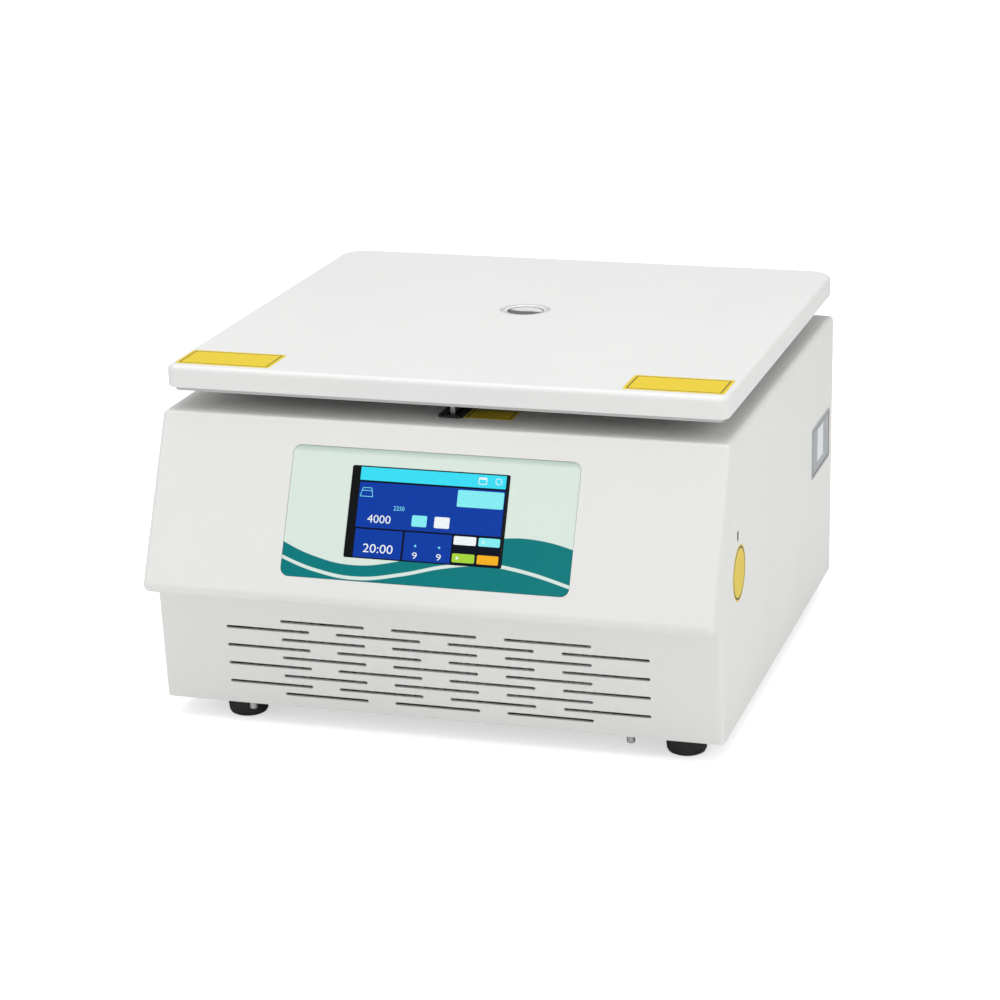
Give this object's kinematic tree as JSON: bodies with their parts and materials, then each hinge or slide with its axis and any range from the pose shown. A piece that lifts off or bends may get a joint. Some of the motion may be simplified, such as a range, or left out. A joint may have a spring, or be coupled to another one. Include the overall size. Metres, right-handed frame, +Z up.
{
  "type": "refrigerated benchtop centrifuge",
  "caption": "Benchtop refrigerated centrifuge with a hinged flat lid, a sloped front with a touch display, a slotted lower front, an angle rotor and rubber feet.",
  "frame": {"origin": "centre of the overall box, on the plane the feet stand on", "axes": "+X to the right seen from the front, +Y to the rear (the display is at -Y), +Z up"},
  "size_m": [0.4205, 0.4636, 0.2632],
  "materials": {
    "white_cover": "fine texture",
    "white_steel": "fine textured paint",
    "white_lid": "fine textured paint",
    "steel": "satin",
    "dark_plastic": "matte",
    "rubber": "matte",
    "foam": "matte",
    "aluminium": "satin",
    "black_paint": "satin",
    "copper": "satin",
    "glass": "clear",
    "overlay": "gloss",
    "display": "gloss",
    "board": "satin",
    "film": "satin",
    "grey_film": "satin"
  },
  "bodies": {
    "cabinet": {"front_cover": "white_cover", "cabinet_wrap": "white_steel", "rear_panel": "white_steel", "base_plate": "steel", "side_film": "film", "plate_blank": "grey_film", "hinge_brackets": "steel", "hinge_pins": "steel", "lock_bezel": "dark_plastic", "lock_frame": "steel", "lock_actuator": "dark_plastic", "chamber_bowl": "steel", "chamber_insulation": "foam", "evaporator_coil": "copper", "rubber_mounts": "rubber", "motor_plate": "steel", "motor_body": "black_paint", "condenser": "aluminium", "fan_shroud": "steel", "fan_frame_left": "dark_plastic", "fan_frame_right": "dark_plastic", "compressor": "black_paint", "filter_drier": "copper", "cooling_pipes": "copper", "power_inlet": "dark_plastic", "switch_housing": "dark_plastic", "fuse_holder": "dark_plastic", "drive_board": "board", "drive_heatsink": "aluminium", "control_board": "board", "display_overlay": "overlay", "touch_display": "display", "display_bracket": "steel", "display_screws": "steel", "foot_front_left": "rubber", "foot_front_right": "rubber", "foot_rear_left": "rubber", "foot_rear_right": "rubber", "foot_screws": "steel", "base_studs": "steel", "case_screws": "steel", "release_bush": "dark_plastic"},
    "lid": {"lid_shell": "white_lid", "lid_plate": "steel", "lid_liner": "white_cover", "lid_seal_ring": "white_cover", "lid_seal": "rubber", "window_bezel": "white_cover", "window_lenses": "glass", "lid_striker": "steel", "lid_films": "film", "hinge_leaves": "steel"},
    "rotor": {"rotor_base": "aluminium", "rotor_head": "aluminium", "motor_shaft": "steel"},
    "rotor_nut": {"rotor_nut": "dark_plastic"},
    "fan_wheel_left": {"fan_wheel_left": "dark_plastic"},
    "fan_wheel_right": {"fan_wheel_right": "dark_plastic"},
    "lock_bolt": {"lock_bolt": "steel"},
    "power_rocker": {"switch_rocker": "dark_plastic"}
  },
  "joints": [
    {"name": "lid_hinge", "type": "hinge", "parent": "cabinet", "child": "lid", "pos_m": [0, 0.20691, 0.2379], "axis": [-1, 0, 0], "range_deg": [0, 75]},
    {"name": "rotor_spin", "type": "hinge", "parent": "cabinet", "child": "rotor", "pos_m": [0, 0.04677, 0], "axis": [0, 0, 1], "continuous": true},
    {"name": "rotor_nut_turn", "type": "hinge", "parent": "rotor", "child": "rotor_nut", "pos_m": [0, 0.04677, 0], "axis": [0, 0, 1], "continuous": true},
    {"name": "fan_left_spin", "type": "hinge", "parent": "cabinet", "child": "fan_wheel_left", "pos_m": [-0.074, -0.15163, 0.055], "axis": [0, 1, 0], "continuous": true},
    {"name": "fan_right_spin", "type": "hinge", "parent": "cabinet", "child": "fan_wheel_right", "pos_m": [0.074, -0.15163, 0.055], "axis": [0, 1, 0], "continuous": true},
    {"name": "lock_bolt_slide", "type": "slide", "parent": "cabinet", "child": "lock_bolt", "axis": [-1, 0, 0], "range_m": [0, 0.014]},
    {"name": "power_switch", "type": "hinge", "parent": "cabinet", "child": "power_rocker", "pos_m": [-0.104, 0.21211, 0.052], "axis": [-1, 0, 0], "range_deg": [0, 16]}
  ]
}
